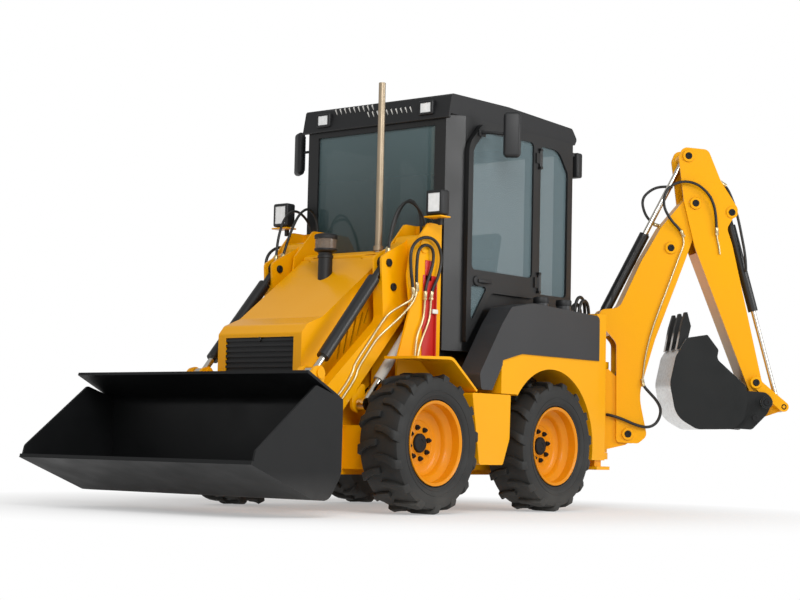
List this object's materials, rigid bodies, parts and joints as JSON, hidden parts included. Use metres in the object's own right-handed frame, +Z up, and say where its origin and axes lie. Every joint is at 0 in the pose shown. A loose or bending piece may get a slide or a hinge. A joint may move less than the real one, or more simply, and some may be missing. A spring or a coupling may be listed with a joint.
{
  "type": "compact backhoe loader",
  "caption": "Compact wheeled loader with a cab, a wide front bucket on two lift arms, and a side-mounted digging arm with a toothed bucket and stabiliser legs behind.",
  "frame": {"origin": "on the ground under the middle of the bounding box", "axes": "+X forward, toward the loader bucket; +Y to the machine's left, the door's side; +Z up"},
  "size_m": [4.272, 2.197, 2.33],
  "materials": {
    "yellow_paint": "satin",
    "black_paint": "satin",
    "black_plastic": "matt, moulded",
    "chrome_rod": "polished",
    "window_glass": "clear",
    "engine_iron": "cast",
    "pipe_steel": "dull",
    "seat_fabric": "woven",
    "tyre_rubber": "matt",
    "rim_paint": "satin"
  },
  "bodies": {
    "machine": {"chassis": "black_paint", "engine_block": "engine_iron", "loader_towers": "yellow_paint", "scuttle": "yellow_paint", "exhaust_stack": "pipe_steel", "front_fenders": "black_plastic", "side_pods": "black_plastic", "rear_wings": "yellow_paint", "tank_covers": "black_plastic", "cab_shell": "black_paint", "cab_roof": "black_plastic", "cab_glass": "window_glass", "work_lamps": "black_plastic", "mirror_right": "black_plastic", "seat": "seat_fabric", "rear_frame": "yellow_paint"},
    "bonnet": {"bonnet": "yellow_paint", "grille": "black_plastic", "pre_cleaner": "black_plastic"},
    "door": {"door_frame": "black_paint", "door_glass": "window_glass", "mirror_left": "black_plastic"},
    "loader_arms": {"arm_left": "yellow_paint", "arm_right": "yellow_paint", "arm_cross_tube": "yellow_paint"},
    "loader_bucket": {"loader_bucket": "black_paint", "bucket_hitch": "yellow_paint"},
    "crowd_rams_barrel": {"crowd_ram_barrels": "black_paint"},
    "crowd_rams_rod": {"crowd_ram_rods": "chrome_rod"},
    "lift_rams_barrel": {"lift_ram_barrels": "black_paint"},
    "lift_rams_rod": {"lift_ram_rods": "chrome_rod"},
    "stabiliser_left": {"stabiliser_left": "yellow_paint"},
    "stabiliser_right": {"stabiliser_right": "yellow_paint"},
    "kingpost": {"kingpost": "yellow_paint"},
    "boom": {"boom": "yellow_paint"},
    "dipper": {"dipper": "yellow_paint"},
    "tipping_lever": {"tipping_lever": "yellow_paint"},
    "tipping_link": {"tipping_link": "yellow_paint"},
    "digger_bucket": {"digger_bucket": "black_paint"},
    "boom_ram_barrel": {"boom_ram_barrel": "black_paint"},
    "boom_ram_rod": {"boom_ram_rod": "chrome_rod"},
    "dipper_ram_barrel": {"dipper_ram_barrel": "black_paint"},
    "dipper_ram_rod": {"dipper_ram_rod": "chrome_rod"},
    "digger_ram_barrel": {"digger_ram_barrel": "black_paint"},
    "digger_ram_rod": {"digger_ram_rod": "chrome_rod"},
    "wheel_front_left": {"tyre_front_left": "tyre_rubber", "rim_front_left": "rim_paint"},
    "wheel_front_right": {"tyre_front_right": "tyre_rubber", "rim_front_right": "rim_paint"},
    "wheel_rear_left": {"tyre_rear_left": "tyre_rubber", "rim_rear_left": "rim_paint"},
    "wheel_rear_right": {"tyre_rear_right": "tyre_rubber", "rim_rear_right": "rim_paint"}
  },
  "joints": [
    {"name": "wheel_front_left_spin", "type": "hinge", "parent": "machine", "child": "wheel_front_left", "pos_m": [0.705, 0.3495, 0.366], "axis": [0, 1, 0], "continuous": true},
    {"name": "wheel_front_right_spin", "type": "hinge", "parent": "machine", "child": "wheel_front_right", "pos_m": [0.705, -0.9345, 0.366], "axis": [0, 1, 0], "continuous": true},
    {"name": "wheel_rear_left_spin", "type": "hinge", "parent": "machine", "child": "wheel_rear_left", "pos_m": [-0.399, 0.3495, 0.366], "axis": [0, 1, 0], "continuous": true},
    {"name": "wheel_rear_right_spin", "type": "hinge", "parent": "machine", "child": "wheel_rear_right", "pos_m": [-0.399, -0.9345, 0.366], "axis": [0, 1, 0], "continuous": true},
    {"name": "loader_lift", "type": "hinge", "parent": "machine", "child": "loader_arms", "pos_m": [0.515, -0.2925, 1.42], "axis": [0, -1, 0], "range_deg": [-3, 105]},
    {"name": "loader_tilt", "type": "hinge", "parent": "loader_arms", "child": "loader_bucket", "pos_m": [1.395, -0.2925, 0.25], "axis": [0, 1, 0], "range_deg": [-3, 70]},
    {"name": "lift_rams_swing", "type": "hinge", "parent": "machine", "child": "lift_rams_barrel", "pos_m": [0.425, -0.2925, 1.135], "axis": [0, -1, 0], "range_deg": [-4.91, 102.05]},
    {"name": "lift_rams_stroke", "type": "slide", "parent": "lift_rams_barrel", "child": "lift_rams_rod", "axis": [0.6672, 0, -0.7449], "range_m": [-0.0235, 0.4882]},
    {"name": "crowd_rams_swing", "type": "hinge", "parent": "loader_arms", "child": "crowd_rams_barrel", "pos_m": [0.721, -0.2925, 1.314], "axis": [0, -1, 0], "range_deg": [-1.12, 14.97]},
    {"name": "crowd_rams_stroke", "type": "slide", "parent": "crowd_rams_barrel", "child": "crowd_rams_rod", "axis": [0.6696, 0, -0.7427], "range_m": [-0.0302, 0.4835]},
    {"name": "bonnet_lift", "type": "hinge", "parent": "machine", "child": "bonnet", "pos_m": [0.596, -0.2925, 1.366], "axis": [0, -1, 0], "range_deg": [0, 60]},
    {"name": "door_swing", "type": "hinge", "parent": "machine", "child": "door", "pos_m": [-0.46, 0.2845, 1.66], "axis": [0, 0, 1], "range_deg": [0, 95]},
    {"name": "stabiliser_left_drop", "type": "slide", "parent": "machine", "child": "stabiliser_left", "axis": [0, 0, -1], "range_m": [0, 0.36]},
    {"name": "stabiliser_right_drop", "type": "slide", "parent": "machine", "child": "stabiliser_right", "axis": [0, 0, -1], "range_m": [0, 0.36]},
    {"name": "slew", "type": "hinge", "parent": "machine", "child": "kingpost", "pos_m": [-1.245, 0.2075, 0.6], "axis": [0, 0, 1], "range_deg": [-45, 135]},
    {"name": "boom_swing", "type": "hinge", "parent": "kingpost", "child": "boom", "pos_m": [-1.35814, 0.32064, 0.451], "axis": [-0.7071, -0.7071, 0], "range_deg": [-3, 95]},
    {"name": "dipper_swing", "type": "hinge", "parent": "boom", "child": "dipper", "pos_m": [-1.64239, 0.60489, 1.869], "axis": [0.7071, 0.7071, 0], "range_deg": [-2, 105]},
    {"name": "digger_swing", "type": "hinge", "parent": "dipper", "child": "digger_bucket", "pos_m": [-1.94433, 0.90683, 0.66], "axis": [0.7071, 0.7071, 0], "range_deg": [0, 150]},
    {"name": "boom_ram_swing", "type": "hinge", "parent": "kingpost", "child": "boom_ram_barrel", "pos_m": [-1.3051, 0.2676, 0.69], "axis": [0.7071, 0.7071, 0], "range_deg": [-101.02, 5.17]},
    {"name": "boom_ram_stroke", "type": "slide", "parent": "boom_ram_barrel", "child": "boom_ram_rod", "axis": [-0.2425, 0.2425, 0.9393], "range_m": [-0.019, 0.3705]},
    {"name": "dipper_ram_swing", "type": "hinge", "parent": "boom", "child": "dipper_ram_barrel", "pos_m": [-1.24995, 0.21245, 1.159], "axis": [0.7071, 0.7071, 0], "range_deg": [-0.63, 7.52]},
    {"name": "dipper_ram_stroke", "type": "slide", "parent": "dipper_ram_barrel", "child": "dipper_ram_rod", "axis": [-0.32, 0.32, 0.8917], "range_m": [-0.4668, 0.018]},
    {"name": "tipping_lever_swing", "type": "hinge", "parent": "dipper", "child": "tipping_lever", "pos_m": [-1.91251, 0.87501, 0.781], "axis": [0.7071, 0.7071, 0], "range_deg": [-1.45, 74.17]},
    {"name": "tipping_link_swing", "type": "hinge", "parent": "tipping_lever", "child": "tipping_link", "pos_m": [-2.03837, 1.00087, 0.638], "axis": [0.7071, 0.7071, 0], "range_deg": [-3.79, 0.5]},
    {"name": "digger_ram_swing", "type": "hinge", "parent": "dipper", "child": "digger_ram_barrel", "pos_m": [-1.80432, 0.76682, 1.821], "axis": [0.7071, 0.7071, 0], "range_deg": [-0.5, 6.41]},
    {"name": "digger_ram_stroke", "type": "slide", "parent": "digger_ram_barrel", "child": "digger_ram_rod", "axis": [-0.1905, 0.1905, -0.963], "range_m": [-0.246, 0.0048]}
  ],
  "couplings": [
    {"joint": "lift_rams_swing", "follows": "loader_lift", "ratio": 0.9523},
    {"joint": "lift_rams_stroke", "follows": "loader_lift", "m_per_rad": 0.26105},
    {"joint": "crowd_rams_swing", "follows": "loader_tilt", "ratio": 0.20677},
    {"joint": "crowd_rams_stroke", "follows": "loader_tilt", "m_per_rad": 0.38764},
    {"joint": "boom_ram_swing", "follows": "boom_swing", "ratio": -1.0419},
    {"joint": "boom_ram_stroke", "follows": "boom_swing", "m_per_rad": 0.21895},
    {"joint": "dipper_ram_swing", "follows": "dipper_swing", "ratio": 0.066863},
    {"joint": "dipper_ram_stroke", "follows": "dipper_swing", "m_per_rad": -0.24965},
    {"joint": "tipping_lever_swing", "follows": "digger_swing", "ratio": 0.48479},
    {"joint": "tipping_link_swing", "follows": "digger_swing", "ratio": -0.021936},
    {"joint": "digger_ram_swing", "follows": "digger_swing", "ratio": 0.03943},
    {"joint": "digger_ram_stroke", "follows": "digger_swing", "m_per_rad": -0.092137}
  ]
}
